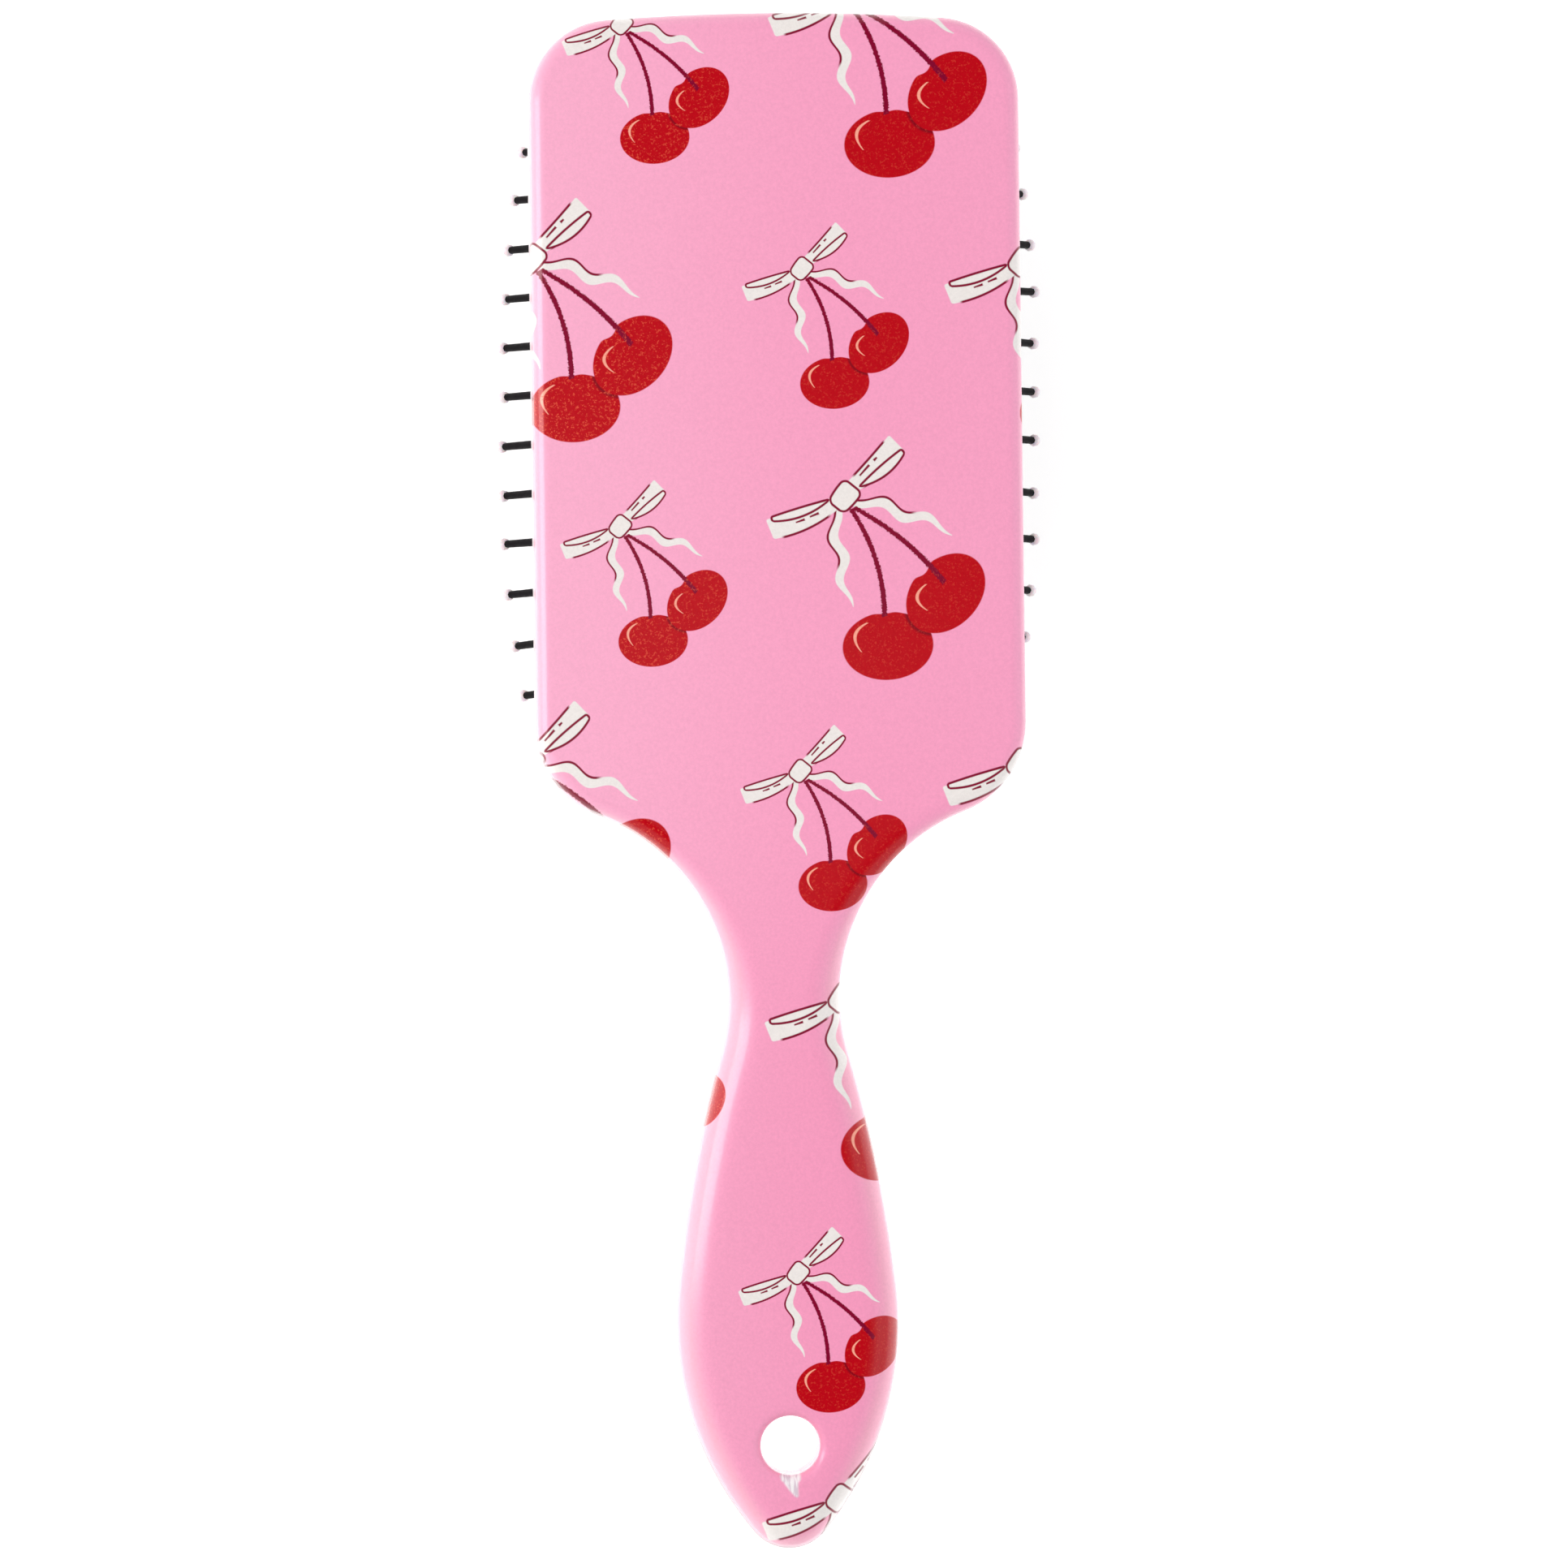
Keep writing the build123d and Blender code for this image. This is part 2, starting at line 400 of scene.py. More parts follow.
def makeCushion():
    outline = wholeRing(padOutline())
    mesh = bmesh.new()

    def ringAt(inset, out):
        ring = []
        for point, normal in outline:
            spot = point - normal * inset
            ring.append(mesh.verts.new((spot.x, spot.y + pad["y"], brush["rim"] - out(spot))))
        return ring

    def skin(x, y):
        return brush["rim"] - domeHeight(x, y - pad["y"])

    def lining(x, y):
        return skin(x, y) + pad["skin"]

    roll = pad["edgeRoll"]
    rings = []
    for step in range(5):
        angle = math.radians(22.5 * step)
        drop = roll * (1 - math.cos(angle))
        rings.append(ringAt(roll * (1 - math.sin(angle)), lambda s: domeHeight(s.x, s.y) - drop))
    rings.append(ringAt(0, lambda s: -pad["skirtStraight"]))
    for inset, rise in (*pad["bead"], (pad["skin"], pad["skirt"])):
        rings.append(ringAt(inset, lambda s: -rise))
    rings.append(ringAt(pad["skin"], lambda s: domeHeight(s.x, s.y) - pad["skin"] - roll))
    rings.append(ringAt(pad["skin"] + roll, lambda s: domeHeight(s.x, s.y) - pad["skin"]))
    joinRings(mesh, rings)
    fillRing(mesh, rings[0], skin, pad["columns"])
    fillRing(mesh, rings[-1], lining, pad["liningColumns"])
    return finishMesh("cushionDome", mesh, 50)


pins = {
    "counts": (12, 13, 14, 13, 14, 13, 14, 13, 12),
    "columnPitch": 7.75,
    "rowPitch": 7.72,
    "bow": 0.072,  # how much a column closes in at bowHalfLength, as a share of its distance out
    "bowHalfLength": 42.5,
    "reach": 22.7,  # from the skin to the middle of the ball
    "rootRadius": 0.66,
    "endRadius": 0.6,
    "footRadius": 0.95,
    "footHeight": 1.3,
    "headRadius": 1.2,
    "headDepth": 2.8,
    "headThickness": 0.7,
    "dip": 0.85,  # how far short of the ball's middle the shaft ends
    "wobble": 0.012,  # radians each pin may lean at random
    "tipRadius": 1.0,
    "collarRadius": 1.55,
    "collarHeight": 0.55,
    "fan": 0.0009,  # radians the pins spread lengthwise for each millimetre from the middle
    "splay": 1.025,  # how much further than square to the dome they lean sideways
    "skew": 0.011,  # how far the columns run out of line with the head
}


# where each pin of a column leaves the cushion, with the turn that takes straight up into its direction
def pinPlaces(column):
    count = pins["counts"][column]
    places = []
    for row in range(count):
        y = (row - (count - 1) / 2) * pins["rowPitch"]
        x = (column - (len(pins["counts"]) - 1) / 2) * pins["columnPitch"]
        x *= 1 - pins["bow"] * abs(y / pins["bowHalfLength"]) ** 3
        lean = pins["splay"] * math.asin(x / pad["domeRadius"])
        x += pins["skew"] * y
        spot = Vector((x, y + pad["y"], brush["rim"] - domeHeight(x, y)))
        places.append((spot, (-pins["fan"] * y, math.pi - lean, 0)))
    return places


# short ways to write a node tree; a value that is a socket is linked, any other is set
class Graph:
    def __init__(self, tree):
        self.tree = tree

    def put(self, kind, **settings):
        node = self.tree.nodes.new(kind)
        for key, value in settings.items():
            setattr(node, key, value)
        return node

    def feed(self, node, values):
        for key, value in values.items():
            if isinstance(value, bpy.types.NodeSocket):
                self.tree.links.new(value, node.inputs[key])
            else:
                node.inputs[key].default_value = value
        return node

    def math(self, operation, *values):
        node = self.put("ShaderNodeMath", operation=operation)
        return self.feed(node, dict(enumerate(values))).outputs[0]

    def vector(self, operation, *values):
        node = self.put("ShaderNodeVectorMath", operation=operation)
        self.feed(node, dict(enumerate(values)))
        return node.outputs[1 if operation in ("LENGTH", "DOT_PRODUCT") else 0]

    # values below low give 0 and above high give 1, or the other way round if low is the larger
    def ease(self, low, high, value):
        node = self.put("ShaderNodeMapRange", interpolation_type="SMOOTHSTEP")
        return self.feed(node, {"Value": value, "From Min": low, "From Max": high}).outputs[0]

    def spread(self, value, low, high, newLow, newHigh):
        node = self.put("ShaderNodeMapRange")
        ends = {"From Min": low, "From Max": high, "To Min": newLow, "To Max": newHigh}
        return self.feed(node, {"Value": value, **ends}).outputs[0]

    def paint(self, share, under, over, blend="MIX"):
        node = self.put("ShaderNodeMix", data_type="RGBA", blend_type=blend)
        return self.feed(node, {0: share, 6: under, 7: over}).outputs[2]

    def noise(self, point, scale, detail=2.0, rough=0.5):
        node = self.put("ShaderNodeTexNoise")
        values = {"Vector": point, "Scale": scale, "Detail": detail, "Roughness": rough}
        return self.feed(node, values).outputs[0]

    def position(self):
        place = self.put("ShaderNodeTexCoord").outputs["Object"]
        return self.vector("MULTIPLY", place, (1000, 1000, 1000))

    def split(self, point):
        return self.feed(self.put("ShaderNodeSeparateXYZ"), {0: point}).outputs

    def join(self, x, y, z=0.0):
        return self.feed(self.put("ShaderNodeCombineXYZ"), {0: x, 1: y, 2: z}).outputs[0]

    def bump(self, height, strength, distance, normal=None):
        node = self.put("ShaderNodeBump")
        values = {"Height": height, "Strength": strength, "Distance": distance}
        if normal is not None:
            values["Normal"] = normal
        return self.feed(node, values).outputs[0]


# an 8-bit screen colour as the linear one that shaders take
def screen(red, green, blue):
    def channel(value):
        value /= 255
        return value / 12.92 if value <= 0.04045 else ((value + 0.055) / 1.055) ** 2.4
    return (channel(red), channel(green), channel(blue), 1.0)


def newMaterial(name, **fixed):
    material = bpy.data.materials.new(name)
    material.use_nodes = True
    shader = material.node_tree.nodes["Principled BSDF"]
    for key, value in fixed.items():
        shader.inputs[key].default_value = value
    return material, Graph(material.node_tree), shader


# how far a point is outside a curved tapered ribbon that starts at Start and runs Length along Angle
def strokeGroup():
    tree = bpy.data.node_groups.new("ribbonStroke", "ShaderNodeTree")
    for name, kind in (("Point", "Vector"), ("Start", "Vector"), ("Angle", "Float"), ("Length", "Float"),
                       ("Bow", "Float"), ("Wave", "Float"), ("Begin", "Float"), ("Finish", "Float"),
                       ("Belly", "Float"), ("Round", "Float")):
        tree.interface.new_socket(name, in_out="INPUT", socket_type="NodeSocket" + kind)
    for name in ("Distance", "Along", "Across"):
        tree.interface.new_socket(name, in_out="OUTPUT", socket_type="NodeSocketFloat")
    g = Graph(tree)
    given = g.put("NodeGroupInput").outputs
    offset = g.vector("SUBTRACT", given["Point"], given["Start"])
    turned = g.feed(g.put("ShaderNodeVectorRotate", rotation_type="Z_AXIS"),
                    {"Vector": offset, "Angle": g.math("MULTIPLY", given["Angle"], -1.0)}).outputs[0]
    x, y = g.split(turned)[:2]
    along = g.math("DIVIDE", x, given["Length"])
    inside = g.feed(g.put("ShaderNodeClamp"), {0: along}).outputs[0]
    arch = g.math("MULTIPLY", g.math("MULTIPLY", inside, 4.0), g.math("SUBTRACT", 1.0, inside))
    swing = g.math("COSINE", g.math("MULTIPLY", inside, 4 * math.pi))
    bend = g.math("SUBTRACT", given["Bow"], g.math("MULTIPLY", swing, given["Wave"]))
    across = g.math("SUBTRACT", y, g.math("MULTIPLY", arch, bend))
    taper = g.math("MULTIPLY", inside, g.math("SUBTRACT", given["Finish"], given["Begin"]))
    width = g.math("ADD", given["Begin"], g.math("ADD", taper, g.math("MULTIPLY", arch, given["Belly"])))
    half = g.math("MULTIPLY", given["Length"], 0.5)
    pastEnd = g.math("SUBTRACT", g.math("ABSOLUTE", g.math("SUBTRACT", x, half)), half)
    pastEnd = g.math("ADD", pastEnd, given["Round"])
    pastSide = g.math("SUBTRACT", g.math("ABSOLUTE", across), width)
    pastSide = g.math("ADD", pastSide, given["Round"])
    corner = g.join(g.math("MAXIMUM", pastEnd, 0.0), g.math("MAXIMUM", pastSide, 0.0))
    within = g.math("MINIMUM", g.math("MAXIMUM", pastEnd, pastSide), 0.0)
    outside = g.math("ADD", g.vector("LENGTH", corner), within)
    distance = g.math("SUBTRACT", outside, given["Round"])
    g.feed(g.put("NodeGroupOutput"), {"Distance": distance, "Along": along, "Across": across})
    return tree


# one printed sprig: two cherries on their stems under a ribbon bow, with the knot at (0, 0)
sprig = {
    "stems": (
        dict(start=(1.0, -1.8), end=(6.4, -18.7), bow=1.35, begin=0.36, finish=0.44),
        dict(start=(1.5, -1.6), end=(15.8, -13.3), bow=0.95, begin=0.36, finish=0.46),
    ),
    "tails": (
        dict(start=(1.4, -0.9), end=(17.0, -5.9), bow=1.2, wave=0.85, begin=0.5, finish=0.04, belly=0.6),
        dict(start=(-0.9, -1.8), end=(1.5, -17.2), bow=-1.1, wave=-0.85, begin=0.5, finish=0.04, belly=0.6),
    ),
    "bands": (
        dict(start=(-1.2, -0.8), end=(-11.7, -5.1), bow=0.5, begin=1.0, finish=1.65, belly=0.3, roll=0.35),
        dict(start=(1.0, 1.5), end=(8.2, 8.6), bow=-0.3, begin=1.0, finish=1.7, belly=0.2, roll=0.35),
    ),
    "openings": (
        dict(start=(-2.4, -0.4), end=(-11.4, -3.5), bow=0.4, begin=0.05, finish=0.35, belly=0.5, roll=0.3),
        dict(start=(2.4, 1.7), end=(9.2, 7.3), bow=-0.4, begin=0.05, finish=0.4, belly=0.6, roll=0.3),
    ),
    "dashes": (
        dict(start=(-4.0, -2.5), end=(-5.4, -3.1), begin=0.2, finish=0.14),
        dict(start=(-6.2, -3.5), end=(-7.6, -4.0), begin=0.2, finish=0.12),
        dict(start=(2.4, 3.4), end=(3.9, 5.1), begin=0.14, finish=0.2),
        dict(start=(4.6, 5.8), end=(5.1, 6.3), begin=0.22, finish=0.14),
    ),
    "knot": dict(start=(-1.3, -1.6), end=(1.4, 1.8), begin=1.5, finish=1.75, belly=0.2, roll=0.9),
    # middle, half length, half height and angle of each fruit
    "fruits": ((6.95, -23.3, 7.15, 5.35, 5), (16.0, -15.0, 7.1, 5.3, 46)),
    # the dimple each stem sits in, taken out of its fruit
    "dimples": ((6.1, -16.2, 1.9), (11.6, -10.7, 1.6)),
    "gleams": (
        dict(start=(3.7, -19.7), end=(2.8, -24.3), bow=-1.5, begin=0.16, finish=0.1, belly=0.12),
        dict(start=(12.9, -13.6), end=(13.1, -17.7), bow=-1.5, begin=0.16, finish=0.1, belly=0.12),
    ),
    "line": 0.19,  # half the width of a drawn line
    "soft": 0.09,  # softness of every printed edge
}

inks = {
    "cherry": screen(192, 0, 20),
    "cherryDark": screen(136, 2, 24),
    "stem": screen(134, 0, 46),
    "bow": screen(244, 238, 236),
    "gleam": screen(255, 172, 150),
}


def sprigGroup():
    strokes = strokeGroup()
    tree = bpy.data.node_groups.new("cherrySprig", "ShaderNodeTree")
    tree.interface.new_socket("Point", in_out="INPUT", socket_type="NodeSocketVector")
    tree.interface.new_socket("Ground", in_out="INPUT", socket_type="NodeSocketColor")
    tree.interface.new_socket("Color", in_out="OUTPUT", socket_type="NodeSocketColor")
    tree.interface.new_socket("Fruit", in_out="OUTPUT", socket_type="NodeSocketFloat")
    tree.interface.new_socket("Ink", in_out="OUTPUT", socket_type="NodeSocketFloat")
    g = Graph(tree)
    given = g.put("NodeGroupInput").outputs
    soft, line = sprig["soft"], sprig["line"]
    place = given["Point"]
    rough = g.noise(place, 3.2, 1.0)
    rough = g.math("MULTIPLY", g.math("SUBTRACT", rough, 0.5), 0.5)

    def stroke(start, end, bow=0.0, wave=0.0, begin=0.2, finish=0.2, belly=0.0, roll=0.0):
        run = Vector(end) - Vector(start)
        node = g.put("ShaderNodeGroup", node_tree=strokes)
        g.feed(node, {"Point": place, "Start": (*start, 0), "Angle": math.atan2(run.y, run.x),
                      "Length": run.length, "Bow": bow, "Wave": wave, "Begin": begin,
                      "Finish": finish, "Belly": belly, "Round": roll})
        return node.outputs

    def filled(distance):
        return g.ease(soft, -soft, distance)

    def drawn(distance, width=line):
        return filled(g.math("SUBTRACT", g.math("ABSOLUTE", distance), width))

    def both(first, second):
        return g.math("MULTIPLY", first, second)

    colour = given["Ground"]
    inked = 0.0

    def lay(share, ink):
        nonlocal colour, inked
        colour = g.paint(share, colour, inks[ink])
        inked = g.math("MAXIMUM", inked, share)

    for index, facts in enumerate(sprig["tails"]):
        tail = stroke(**facts)
        lay(filled(tail["Distance"]), "bow")
        side = g.math("MULTIPLY", tail["Across"], -1 if index else 1)
        early = both(g.ease(0.62, 0.55, tail["Along"]), g.ease(0.0, 0.2, side))
        lay(both(drawn(tail["Distance"]), early), "stem")
    fruits = []
    for x, y, width, height, angle in sprig["fruits"]:
        away = g.vector("SUBTRACT", place, (x, y, 0))
        away = g.feed(g.put("ShaderNodeVectorRotate", rotation_type="Z_AXIS"),
                      {"Vector": away, "Angle": -math.radians(angle)}).outputs[0]
        away = g.vector("LENGTH", g.vector("MULTIPLY", away, (1 / width, 1 / height, 0)))
        distance = g.math("MULTIPLY", g.math("SUBTRACT", away, 1.0), height)
        x, y, radius = sprig["dimples"][len(fruits)]
        dimple = g.vector("LENGTH", g.vector("SUBTRACT", place, (x, y, 0)))
        fruits.append(g.math("SMOOTH_MAX", distance, g.math("SUBTRACT", radius, dimple), 1.4))
    for index, distance in enumerate(fruits):
        if index:
            shade = both(filled(fruits[0]), g.ease(0.55, 0.1, distance))
            lay(shade, "cherryDark")
        lay(filled(distance), "cherry")
        stem = stroke(**sprig["stems"][index])
        lay(filled(g.math("ADD", stem["Distance"], rough)), "stem")
        lay(filled(stroke(**sprig["gleams"][index])["Distance"]), "gleam")
    for facts, opening in zip(sprig["bands"], sprig["openings"]):
        band = stroke(**facts)
        lay(filled(band["Distance"]), "bow")
        rim = both(drawn(band["Distance"]), g.ease(0.9, 0.84, band["Along"]))
        lay(both(rim, g.ease(0.12, 0.2, band["Along"])), "stem")
        mouth = stroke(**opening)["Distance"]
        lay(filled(mouth), "bow")
        lay(drawn(mouth), "stem")
    for facts in sprig["dashes"]:
        lay(filled(stroke(**facts)["Distance"]), "stem")
    knot = stroke(**sprig["knot"])["Distance"]
    lay(filled(knot), "bow")
    lay(drawn(knot), "stem")
    fruit = g.math("MAXIMUM", filled(fruits[0]), filled(fruits[1]))
    g.feed(g.put("NodeGroupOutput"), {"Color": colour, "Fruit": fruit, "Ink": inked})
    return tree


printLayout = {
    "lean": 0.88,  # degrees the print is turned on the brush
    "tile": (76.4, 78.1),  # after which the print repeats
    "size": 0.99,  # of the large sprigs
    "small": 1.31,  # how many times smaller the small sprigs are
    "smallKnots": ((2.55, 79.6), (-25.55, 39.4)),
    "largeKnots": ((-39.45, 80.9), (9.35, 44.2)),
    "middle": (4.5, -10.0),  # of a sprig, from its knot
    "pink": screen(254, 166, 203),
    # painted shade: the darker pink towards the handle
    "pinkHandleShade": screen(253, 160, 198),
    "pinkLitSide": screen(255, 179, 211),  # painted light: the lighter pink towards the lit left side
    "litSide": (12.0, -42.0),  # x where the painted light starts and where it is full
    # paler film on the rolled edge where it is stretched, and partly a painted highlight
    "edge": screen(248, 200, 206),
    "bare": screen(230, 211, 217),
    "stretch": (0.01, 0.12),  # how far down the edge, as a share of the thickness, the film pales where it is stretched, partly a painted highlight
    "fade": (0.4, 0.66),  # and over which it gives way to bare plastic
}


filmFinish = {
    "speckle": 2.6,  # scales of the noises, in parts per millimetre
    "grain": 2.4,
    "drift": 0.02,
    "driftShare": 0.3,
    "flakeGlintShare": (0.22, 0.75),  # share of the flakes painted with their glint, away from the lit side and on it
    # the flakes in the cherries, painted in the colour of their glint
    "flakeGlint": screen(238, 92, 66),
    "grainTone": (0.95, 1.04),
    "edgeShare": 0.35,
    "ripple": 0.12,
    "bareWorn": screen(221, 200, 207),
    # painted shade and painted light on the folds of the torn film
    "nickPaintedShade": screen(226, 206, 220),
    "nickPaintedLight": screen(254, 248, 252),
    "roughness": (0.24, 0.27),
    "bareRoughness": 0.08,  # how much rougher the bare plastic is
    # heights of the relief, in millimetres
    "peel": 0.02,
    "fine": 0.003,
    "sparkle": 0.009,
    "ink": 0.006,
}


def printedMaterial():
    material, g, shader = newMaterial("printedBody", **{
        "IOR": 1.45, "Coat Weight": 0.25, "Coat Roughness": 0.12, "Coat IOR": 1.5})
    layout, film = printLayout, filmFinish
    place = g.position()
    x, y, z = g.split(place)
    flat = g.feed(g.put("ShaderNodeVectorRotate", rotation_type="Z_AXIS"),
                  {"Vector": g.join(x, y), "Angle": math.radians(layout["lean"])}).outputs[0]
    chosen = nearest = None
    tile = (*layout["tile"], 1.0)
    half = [t / 2 for t in tile]
    for size, knots in ((layout["size"] / layout["small"], layout["smallKnots"]),
                        (layout["size"], layout["largeKnots"])):
        for knot in knots:
            local = g.vector("SUBTRACT", flat, (*knot, 0))
            local = g.vector("SUBTRACT", local, [c * size for c in (*layout["middle"], 0)])
            local = g.vector("WRAP", local, half, [-h for h in half])
            local = g.vector("MULTIPLY", local, (1 / size,) * 3)
            reach = g.vector("LENGTH", local)
            if chosen is None:
                chosen, nearest = local, reach
                continue
            closer = g.math("LESS_THAN", reach, nearest)
            pick = g.put("ShaderNodeMix", data_type="VECTOR")
            chosen = g.feed(pick, {0: closer, 4: chosen, 5: local}).outputs[1]
            nearest = g.math("MINIMUM", nearest, reach)
    chosen = g.vector("ADD", chosen, (*layout["middle"], 0))
    chosen = g.vector("MULTIPLY", chosen, (1, 1, 0))

    # how far down the edge a point lies, as a share of the thickness there
    fallen = g.math("POWER", g.math("DIVIDE", g.math("MINIMUM", y, 0.0), brush["droopEnd"]), 2.0)
    back = g.math("SUBTRACT", brush["back"], g.math("MULTIPLY", fallen, brush["droop"]))
    risen = g.math("POWER", g.spread(y, -brush["bellyY"], -brush["droopEnd"], 0, 1), 2.0)
    rim = g.math("MULTIPLY", risen, brush["lift"])
    rim = g.math("SUBTRACT", rim, g.math("MULTIPLY", g.ease(0.0, -brush["bellyY"], y), brush["belly"]))
    thickness = g.math("SUBTRACT", back, g.math("ADD", rim, brush["rim"]))
    depth = g.math("DIVIDE", g.math("SUBTRACT", back, z), thickness)

    # the film itself: pink that drifts a little; darker towards the handle as painted shade, lighter
    # towards the left side as painted light, and paler where it is stretched over the edge, which also
    # paints part of the highlight along the edge
    drift = g.noise(place, film["drift"], 3.0)
    # painted shade: the pink darkens towards the handle, with a little random drift mixed in
    low = g.ease(30.0, -60.0, y)
    low = g.math("ADD", low, g.math("MULTIPLY", g.math("SUBTRACT", drift, 0.5), film["driftShare"]))
    ground = g.paint(low, layout["pink"], layout["pinkHandleShade"])
    # painted light: the pink made lighter towards the left side, where the light falls
    left = g.ease(*layout["litSide"], x)
    ground = g.paint(left, ground, layout["pinkLitSide"])
    # the film paler down the rolled edge where it is stretched, partly a painted highlight along the edge
    paleEdgeAndHighlight = g.ease(*layout["stretch"], depth)
    ground = g.paint(g.math("MULTIPLY", paleEdgeAndHighlight, film["edgeShare"]), ground, layout["edge"])
    group = g.put("ShaderNodeGroup", node_tree=sprigGroup())
    g.feed(group, {"Point": chosen, "Ground": ground})
    speckle = g.noise(place, film["speckle"], 2.0, 0.7)
    # painted glint of the flakes in the cherries, denser towards the lit left side as painted light
    flakeGlint = g.math("MULTIPLY", group.outputs["Fruit"], g.ease(0.54, 0.66, speckle))
    flakeGlint = g.math("MULTIPLY", flakeGlint, g.spread(left, 0, 1, *film["flakeGlintShare"]))
    colour = g.paint(flakeGlint, group.outputs["Color"], film["flakeGlint"])
    grain = g.noise(place, film["grain"], 3.0, 0.65)
    tone = g.spread(grain, 0.3, 0.7, *film["grainTone"])
    colour = g.paint(1.0, colour, g.join(tone, tone, tone), "MULTIPLY")

    ripple = g.math("MULTIPLY", g.math("SUBTRACT", g.noise(place, 0.16, 2.0), 0.5), film["ripple"])
    bare = g.ease(*layout["fade"], g.math("ADD", depth, ripple))
    wear = g.noise(place, 0.5, 4.0, 0.6)
    plain = g.paint(g.ease(0.45, 0.8, wear), layout["bare"], film["bareWorn"])
    colour = g.paint(bare, colour, plain)

    # the pale drawn film in the nick under the hanging hole, with painted light and shade on its folds
    ribbon = bpy.data.node_groups["ribbonStroke"]
    nicks = []
    for facts in hangHole["nick"]:
        node = g.put("ShaderNodeGroup", node_tree=ribbon)
        nicks.append(g.feed(node, {"Point": g.join(x, y), **facts}).outputs["Distance"])
    torn = g.ease(0.25, -0.25, g.math("SMOOTH_MIN", *nicks, 0.5))
    # painted light and shade across the folds
    foldLightAndShade = g.noise(g.vector("MULTIPLY", place, (2.2, 0.5, 0.5)), 1.0, 2.0)
    shade = g.paint(g.ease(0.35, 0.6, foldLightAndShade), film["nickPaintedShade"], film["nickPaintedLight"])
    colour = g.paint(torn, colour, shade)

    fine = g.noise(place, 4.2, 2.0)
    peel = g.noise(place, 0.55, 2.0)
    scuff = g.noise(place, 0.12, 4.0, 0.6)
    roughness = g.spread(scuff, 0.3, 0.7, *film["roughness"])
    roughness = g.math("ADD", roughness, g.math("MULTIPLY", bare, film["bareRoughness"]))
    sparkle = g.math("MULTIPLY", group.outputs["Fruit"], speckle)
    height = 0.0
    layers = {"peel": peel, "fine": fine, "sparkle": sparkle, "ink": group.outputs["Ink"]}
    for size, layer in layers.items():
        height = g.math("ADD", g.math("MULTIPLY", layer, film[size]), height)
    normal = g.bump(height, 1.0, 0.001)
    g.feed(shader, {"Base Color": colour, "Roughness": roughness, "Normal": normal})
    return material


rubberFinish = {
    "dark": screen(34, 28, 33),
    "light": screen(50, 42, 48),
    "dust": screen(96, 86, 92),
    "dustShare": 0.35,
    "roughness": (0.42, 0.6),
}


def rubberMaterial():
    material, g, shader = newMaterial("cushionRubber", **{
        "IOR": 1.52, "Sheen Weight": 0.12, "Sheen Roughness": 0.5})
    place = g.position()
    cloud = g.noise(place, 0.09, 4.0, 0.6)
    dust = g.noise(place, 1.1, 5.0, 0.7)
    colour = g.paint(g.ease(0.3, 0.75, cloud), rubberFinish["dark"], rubberFinish["light"])
    dusty = g.math("MULTIPLY", g.ease(0.58, 0.78, dust), rubberFinish["dustShare"])
    colour = g.paint(dusty, colour, rubberFinish["dust"])
    roughness = g.spread(cloud, 0.3, 0.7, *rubberFinish["roughness"])
    normal = g.bump(g.noise(place, 2.6, 3.0, 0.6), 0.35, 0.0001)
    normal = g.bump(g.noise(place, 0.25, 2.0), 0.15, 0.0006, normal)
    g.feed(shader, {"Base Color": colour, "Roughness": roughness, "Normal": normal})
    return material


nylonFinish = {
    "dark": screen(6, 3, 6),
    "light": screen(16, 10, 15),
    "roughness": (0.4, 0.58),
}


def nylonMaterial():
    material, g, shader = newMaterial("pinNylon", **{"IOR": 1.45, "Specular IOR Level": 0.05})
    place = g.position()
    streak = g.noise(g.vector("MULTIPLY", place, (1.5, 1.5, 0.12)), 1.0, 3.0)
    colour = g.paint(g.ease(0.3, 0.7, streak), nylonFinish["dark"], nylonFinish["light"])
    normal = g.bump(g.noise(place, 2.2, 3.0), 0.2, 0.00008)
    roughness = g.spread(streak, 0.3, 0.7, *nylonFinish["roughness"])
    g.feed(shader, {"Base Color": colour, "Roughness": roughness, "Normal": normal})
    return material


tipFinish = {
    "light": screen(252, 240, 245),
    "dark": screen(240, 222, 231),
    "roughness": (0.26, 0.42),
}


def tipMaterial():
    material, g, shader = newMaterial("tipCoating", **{
        "IOR": 1.5, "Coat Weight": 0.3, "Coat Roughness": 0.15,
        "Subsurface Weight": 0.25, "Subsurface Scale": 0.0008})
    place = g.position()
    cloud = g.noise(place, 0.7, 3.0)
    colour = g.paint(g.ease(0.3, 0.7, cloud), tipFinish["light"], tipFinish["dark"])
    normal = g.bump(g.noise(place, 1.6, 3.0), 0.15, 0.00008)
    roughness = g.spread(cloud, 0.3, 0.7, *tipFinish["roughness"])
    g.feed(shader, {"Base Color": colour, "Roughness": roughness, "Normal": normal})
    return material


# a turned shape about the z axis; the profile starts and ends on the axis
def makeLathe(name, profile, segments):
    mesh = bmesh.new()
    rings = []
    for radius, height in profile:
        if radius == 0:
            rings.append([mesh.verts.new((0, 0, height))])
            continue
        angles = [2 * math.pi * turn / segments for turn in range(segments)]
        rings.append([mesh.verts.new((radius * math.cos(a), radius * math.sin(a), height)) for a in angles])
    for lower, upper in zip(rings, rings[1:]):
        for turn in range(segments):
            after = (turn + 1) % segments
            corners = [lower[turn % len(lower)], lower[after % len(lower)]]
            corners += [upper[after % len(upper)], upper[turn % len(upper)]]
            mesh.faces.new(list(dict.fromkeys(corners)))
    return finishMesh(name, mesh, 50)


